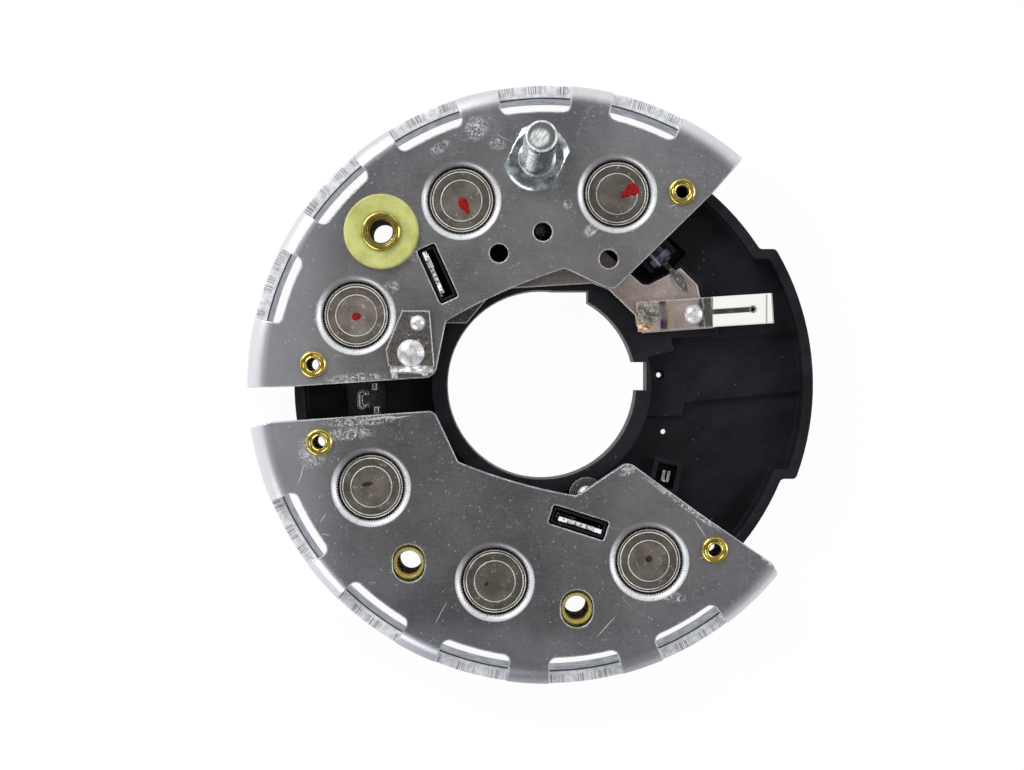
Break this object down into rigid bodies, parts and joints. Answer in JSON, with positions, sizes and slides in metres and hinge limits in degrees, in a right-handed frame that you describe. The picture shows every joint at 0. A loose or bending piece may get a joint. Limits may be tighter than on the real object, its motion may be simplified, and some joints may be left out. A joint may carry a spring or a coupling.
{
  "type": "alternator rectifier",
  "caption": "Ring-shaped alternator rectifier: bent aluminium heat sinks with press-fit diodes on a moulded terminal plate, with a battery stud and brass fixing bushes.",
  "frame": {"origin": "on the alternator shaft's axis, level with the lower edges of the heat sinks' flanges and the lower end of the collar round the shaft hole", "axes": "+Z along the shaft axis and the battery stud, out of the alternator; +X towards the open tray; +Y towards the battery stud"},
  "size_m": [0.1091, 0.1156, 0.053],
  "materials": {
    "aluminium_sheet": "brushed pressed sheet",
    "diode_cup": "turned, nickel plated",
    "diode_resin": "matt cast resin",
    "tinned_wire": "bright tinned",
    "tinned_strip": "tinned copper alloy",
    "contact_strip": "bright tinned",
    "black_plastic": "satin moulded",
    "zinc_steel": "bright zinc plate",
    "brass": "bright turned",
    "insulator": "satin natural polyamide",
    "diode_epoxy": "satin moulded",
    "dull_steel": "dull rolled"
  },
  "bodies": {
    "root": {"battery_stud": "zinc_steel", "bracket_rivet_1": "zinc_steel", "bracket_rivet_2": "zinc_steel", "contact_blade": "contact_strip", "contact_rivet": "zinc_steel", "exciter_diode_1": "diode_epoxy", "exciter_diode_2": "diode_epoxy", "exciter_diode_3": "diode_epoxy", "exciter_strip": "tinned_strip", "exciter_wires_1": "tinned_wire", "exciter_wires_2": "tinned_wire", "exciter_wires_3": "tinned_wire", "eyelet_1": "brass", "eyelet_2": "brass", "eyelet_3": "brass", "eyelet_4": "brass", "fixing_bush_1": "brass", "fixing_bush_2": "brass", "insulated_bush": "brass", "insulating_washer": "insulator", "left_phase_strip": "tinned_strip", "link_bracket": "dull_steel", "middle_phase_strip": "tinned_strip", "moulded_plate": "black_plastic", "negative_diode_1": "diode_cup", "negative_diode_2": "diode_cup", "negative_diode_3": "diode_cup", "negative_diode_lead_1": "tinned_wire", "negative_diode_lead_2": "tinned_wire", "negative_diode_lead_3": "tinned_wire", "negative_diode_seal_1": "diode_resin", "negative_diode_seal_2": "diode_resin", "negative_diode_seal_3": "diode_resin", "negative_heat_sink": "aluminium_sheet", "positive_diode_1": "diode_cup", "positive_diode_2": "diode_cup", "positive_diode_3": "diode_cup", "positive_diode_lead_1": "tinned_wire", "positive_diode_lead_2": "tinned_wire", "positive_diode_lead_3": "tinned_wire", "positive_diode_seal_1": "diode_resin", "positive_diode_seal_2": "diode_resin", "positive_diode_seal_3": "diode_resin", "positive_heat_sink": "aluminium_sheet", "retaining_rivet": "zinc_steel", "retaining_washer": "dull_steel", "right_phase_strip": "tinned_strip"}
  },
  "joints": []
}
